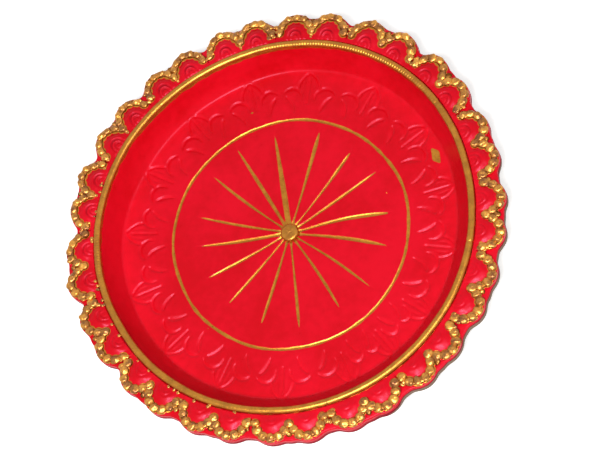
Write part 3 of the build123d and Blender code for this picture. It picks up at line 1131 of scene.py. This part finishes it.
firstSeats = stringPath(stringNodes[0], 0.0)[0]
pairRing = pairOutline()
pairShapeTree = pairTree()
beadStringTree = beadTree()
for number, (pairName, stringName) in enumerate(zip(pairNodes, stringNodes)):
    turn = number * pairPitch
    label = pairName[-2:]
    petals = growPiece("petalPair" + label, pairSeed(pairRing, firstSeats, turn), pairShapeTree, {
        "Turn": turn, "Wobble": pair["wobble"] * mm, "Wobble Scale": pair["wobbleScale"],
        "Seed": 3.7 * number, "Material": redPaint})
    bendRim(petals.data)
    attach(petals, "root")
    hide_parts(pairName)
    seats, links, headings = stringPath(stringName, turn)
    seats[:, 2] += bead["lift"]
    crumbs, crumbSizes = goldCrumbs(number, turn)
    stringSeed = seedFromPoints("beadSeed", np.vstack([seats, crumbs]), links, {
        "size": np.concatenate([np.ones(len(seats)), crumbSizes]),
        "heading": np.concatenate([headings, np.zeros(len(crumbs))]),
        "slim": np.full(len(seats) + len(crumbs), 1 - bead["farSlim"] * farShare(turn))})
    string = growPiece("beadString" + label, stringSeed, beadStringTree, {
        "Bead Radius": bead["radius"] * mm, "Segments": bead["segments"], "Rings": bead["rings"],
        "Spread": bead["spread"], "Stretch": bead["stretch"], "Breadth": bead["breadth"],
        "Shift": bead["shift"] * mm, "Squash": bead["squash"], "Twist": bead["twist"],
        "Join Points": bead["joinPoints"], "Join Width": bead["joinWidth"] * mm,
        "Join Squash": bead["joinSquash"], "Hollow": slabTop * mm, "Lump": bead["lump"] * mm,
        "Lump Scale": bead["lumpScale"], "Seed": 50 + 10 * number, "Material": goldPaint})
    bendRim(string.data)
    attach(string, "root")
    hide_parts(stringName)
print("petal pairs and bead strings:", len(pairNodes), "each")

# White floor that keeps the shadow, and a white surround
stage = {
    "floorSize": 6.0,
    "floorColour": (0.88, 0.88, 0.88, 1),
    "cameraGlow": 0.6,
    "worldFill": 0.10,
    "lampAim": (0, 0, 0.015),
    "lampColour": (1.0, 0.985, 0.96),
}


# One for what the camera sees, mirrored or through glass too
def seenDirectly(wire):
    kinds = ("Is Camera Ray", "Is Glossy Ray", "Is Transmission Ray")
    seen, mirrored, through = [wire.add("ShaderNodeLightPath", None, None, kind) for kind in kinds]
    return wire.sum("MINIMUM", seen + mirrored + through, 1.0)


floorMaterial, floorWire = newMaterial("whiteFloor")
matte = floorWire.add("ShaderNodeBsdfDiffuse", None, {"Color": stage["floorColour"]})
glow = floorWire.add("ShaderNodeEmission", None, {"Strength": seenDirectly(floorWire) * stage["cameraGlow"]})
floorShader = floorWire.add("ShaderNodeAddShader", None, {0: matte, 1: glow})
floorWire.add("ShaderNodeOutputMaterial", None, {"Surface": floorShader})
half = stage["floorSize"] / 2
floorMesh = bpy.data.meshes.new("floor")
floorCorners = [(-half, -half, 0), (half, -half, 0), (half, half, 0), (-half, half, 0)]
floorMesh.from_pydata(floorCorners, [], [(0, 1, 2, 3)])
floorMesh.materials.append(floorMaterial)
addPiece("floor", floorMesh)

world = bpy.data.worlds.new("studio")
bpy.context.scene.world = world
world.use_nodes = True
world.node_tree.nodes.clear()
sky = Wire(world.node_tree)
skyStrength = stage["worldFill"] + seenDirectly(sky) * (1 - stage["worldFill"])
backdrop = sky.add("ShaderNodeBackground", None, {"Color": (1.0, 1.0, 1.0, 1), "Strength": skyStrength})
sky.add("ShaderNodeOutputWorld", None, {"Surface": backdrop})


# Direction from the dish, with the azimuth counted from the front towards the right
def outwards(azimuth, elevation):
    return Vector((math.sin(azimuth) * math.cos(elevation), -math.cos(azimuth) * math.cos(elevation),
                   math.sin(elevation)))


# Soft lamps on either side of the camera: a main one, and a smaller and weaker one for the gleams
lamps = [
    {"name": "keyLamp", "azimuth": 8.0, "elevation": 63.0, "distance": 1.5, "size": 0.50, "power": 20.0},
    {"name": "gleamLamp", "azimuth": 68.0, "elevation": 60.0, "distance": 1.5, "size": 0.32, "power": 5.0},
]
for lamp in lamps:
    light = bpy.data.lights.new(lamp["name"], "AREA")
    light.shape = "DISK"
    light.size = lamp["size"]
    light.energy = lamp["power"]
    light.color = stage["lampColour"]
    away = outwards(math.radians(lamp["azimuth"]), math.radians(lamp["elevation"]))
    lampObject = addPiece(lamp["name"], light)
    lampObject.location = Vector(stage["lampAim"]) + away * lamp["distance"]
    lampObject.rotation_euler = away.to_track_quat("Z", "Y").to_euler()

# Camera at the photograph's angle, rolled as the photograph is
view = {
    "azimuth": 37.5,
    "elevation": 64.5,
    "roll": -37.0,
    "distance": 1.5,
    "aimHeight": 0.014,
    "shift": (0.0077, 0.0020),  # to the right and up in the picture
    "focalPixels": 2688.0,
    "imageWidth": 600,
    "sensorWidth": 36.0,
    "clipEnd": 20.0,
}
azimuth = math.radians(view["azimuth"])
roll = math.radians(view["roll"])
back = outwards(azimuth, math.radians(view["elevation"]))
levelRight = Vector((math.cos(azimuth), math.sin(azimuth), 0))
levelUp = back.cross(levelRight)
right = levelRight * math.cos(roll) + levelUp * math.sin(roll)
up = levelUp * math.cos(roll) - levelRight * math.sin(roll)
eye = Vector((0, 0, view["aimHeight"])) + right * view["shift"][0] + up * view["shift"][1]
eye = eye + back * view["distance"]
cameraData = bpy.data.cameras.new("camera")
cameraData.sensor_width = view["sensorWidth"]
cameraData.lens = view["focalPixels"] * view["sensorWidth"] / view["imageWidth"]
cameraData.clip_end = view["clipEnd"]
camera = addPiece("camera", cameraData)
camera.matrix_world = Matrix((
    (right.x, up.x, back.x, eye.x),
    (right.y, up.y, back.y, eye.y),
    (right.z, up.z, back.z, eye.z),
    (0, 0, 0, 1),
))
bpy.context.scene.camera = camera
bpy.context.scene.view_settings.view_transform = "Standard"
print("stage, lamps and camera ready")
